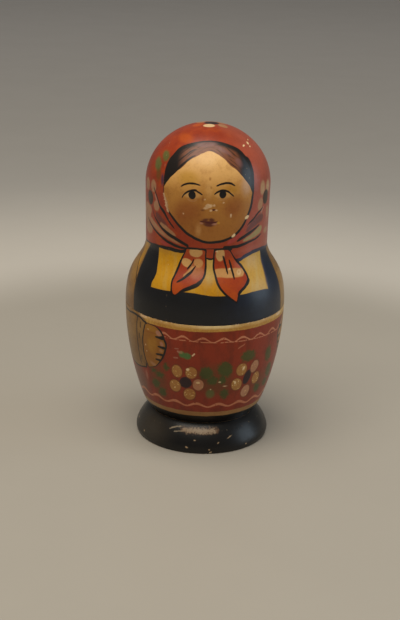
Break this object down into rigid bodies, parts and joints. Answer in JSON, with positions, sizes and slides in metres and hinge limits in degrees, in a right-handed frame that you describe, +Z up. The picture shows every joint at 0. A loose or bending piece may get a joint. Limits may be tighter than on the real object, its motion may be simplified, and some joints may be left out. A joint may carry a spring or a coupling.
{
  "type": "nesting doll",
  "caption": "Painted turned-wood nesting doll on a round stand: each doll parts at the belly on a spigot and lifts open to show a smaller one.",
  "frame": {"origin": "middle of the face that the stand rests on", "axes": "+Z up along the turning axis, the painted face looks along -Y, +X to the face's left hand"},
  "size_m": [0.0746, 0.0746, 0.15],
  "materials": {
    "stand": "black paint under worn varnish, bare wood at the chips",
    "doll_1_skirt": "painted linden under worn varnish, bare turned wood inside",
    "doll_1_scarf": "painted linden under worn varnish, bare turned wood inside",
    "doll_2_skirt": "painted linden under worn varnish, bare turned wood inside",
    "doll_2_scarf": "painted linden under worn varnish, bare turned wood inside",
    "doll_3_skirt": "painted linden under worn varnish, bare turned wood inside",
    "doll_3_scarf": "painted linden under worn varnish, bare turned wood inside",
    "doll_4_skirt": "painted linden under worn varnish, bare turned wood inside",
    "doll_4_scarf": "painted linden under worn varnish, bare turned wood inside",
    "doll_5_skirt": "painted linden under worn varnish, bare turned wood inside",
    "doll_5_scarf": "painted linden under worn varnish, bare turned wood inside",
    "doll_6_skirt": "painted linden under worn varnish, bare turned wood inside",
    "doll_6_scarf": "painted linden under worn varnish, bare turned wood inside",
    "doll_7": "painted linden under varnish"
  },
  "bodies": {
    "doll_1_lower": {"stand": "stand", "doll_1_lower": "doll_1_skirt"},
    "doll_2_lower": {"doll_2_lower": "doll_2_skirt"},
    "doll_3_lower": {"doll_3_lower": "doll_3_skirt"},
    "doll_4_lower": {"doll_4_lower": "doll_4_skirt"},
    "doll_5_lower": {"doll_5_lower": "doll_5_skirt"},
    "doll_6_lower": {"doll_6_lower": "doll_6_skirt"},
    "doll_7": {"doll_7": "doll_7"},
    "doll_6_upper": {"doll_6_upper": "doll_6_scarf"},
    "doll_5_upper": {"doll_5_upper": "doll_5_scarf"},
    "doll_4_upper": {"doll_4_upper": "doll_4_scarf"},
    "doll_3_upper": {"doll_3_upper": "doll_3_scarf"},
    "doll_2_upper": {"doll_2_upper": "doll_2_scarf"},
    "doll_1_upper": {"doll_1_upper": "doll_1_scarf"}
  },
  "joints": [
    {"name": "doll_2_lift", "type": "slide", "parent": "doll_1_lower", "child": "doll_2_lower", "axis": [0, 0, 1], "range_m": [0, 0.06]},
    {"name": "doll_3_lift", "type": "slide", "parent": "doll_2_lower", "child": "doll_3_lower", "axis": [0, 0, 1], "range_m": [0, 0.051]},
    {"name": "doll_4_lift", "type": "slide", "parent": "doll_3_lower", "child": "doll_4_lower", "axis": [0, 0, 1], "range_m": [0, 0.043]},
    {"name": "doll_5_lift", "type": "slide", "parent": "doll_4_lower", "child": "doll_5_lower", "axis": [0, 0, 1], "range_m": [0, 0.036]},
    {"name": "doll_6_lift", "type": "slide", "parent": "doll_5_lower", "child": "doll_6_lower", "axis": [0, 0, 1], "range_m": [0, 0.03]},
    {"name": "doll_7_lift", "type": "slide", "parent": "doll_6_lower", "child": "doll_7", "axis": [0, 0, 1], "range_m": [0, 0.025]},
    {"name": "doll_6_open", "type": "slide", "parent": "doll_7", "child": "doll_6_upper", "axis": [0, 0, 1], "range_m": [0, 0.026]},
    {"name": "doll_5_open", "type": "slide", "parent": "doll_6_upper", "child": "doll_5_upper", "axis": [0, 0, 1], "range_m": [0, 0.034]},
    {"name": "doll_4_open", "type": "slide", "parent": "doll_5_upper", "child": "doll_4_upper", "axis": [0, 0, 1], "range_m": [0, 0.042]},
    {"name": "doll_3_open", "type": "slide", "parent": "doll_4_upper", "child": "doll_3_upper", "axis": [0, 0, 1], "range_m": [0, 0.052]},
    {"name": "doll_2_open", "type": "slide", "parent": "doll_3_upper", "child": "doll_2_upper", "axis": [0, 0, 1], "range_m": [0, 0.063]},
    {"name": "doll_1_open", "type": "slide", "parent": "doll_2_upper", "child": "doll_1_upper", "axis": [0, 0, 1], "range_m": [0, 0.075]}
  ]
}
